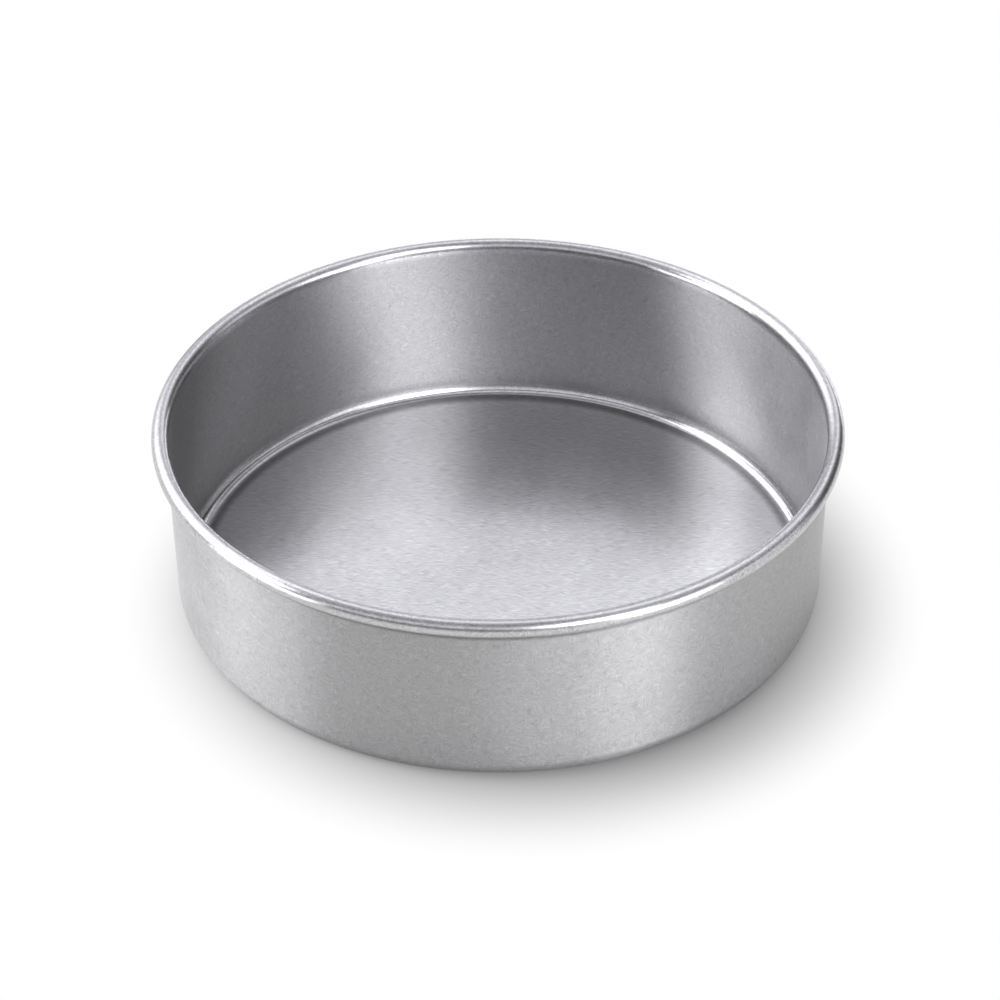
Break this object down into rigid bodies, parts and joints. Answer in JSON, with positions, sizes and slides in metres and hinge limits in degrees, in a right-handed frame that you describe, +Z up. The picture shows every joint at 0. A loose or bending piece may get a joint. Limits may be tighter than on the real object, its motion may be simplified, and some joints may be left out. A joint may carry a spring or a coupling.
{
  "type": "round cake tin",
  "caption": "Straight-sided round cake tin with a rim rolled over a wire, a rounded bottom corner and a loose base that lifts out.",
  "frame": {"origin": "centre of the tin's underside, on the surface that it stands on", "axes": "+Z up along the tin's axis, from the underside to the mouth; the tin is round, so +X and +Y are free"},
  "size_m": [0.2104, 0.2104, 0.06],
  "materials": {
    "wall_aluminium": "satin, fine random scratches, burnished rim",
    "base_aluminium": "satin, fine random scratches",
    "wire_steel": "drawn wire"
  },
  "bodies": {
    "ring": {"side_wall": "wall_aluminium", "rim_wire": "wire_steel"},
    "base": {"base_plate": "base_aluminium"}
  },
  "joints": [
    {"name": "base_lift", "type": "slide", "parent": "ring", "child": "base", "axis": [0, 0, 1], "range_m": [0, 0.1]}
  ]
}
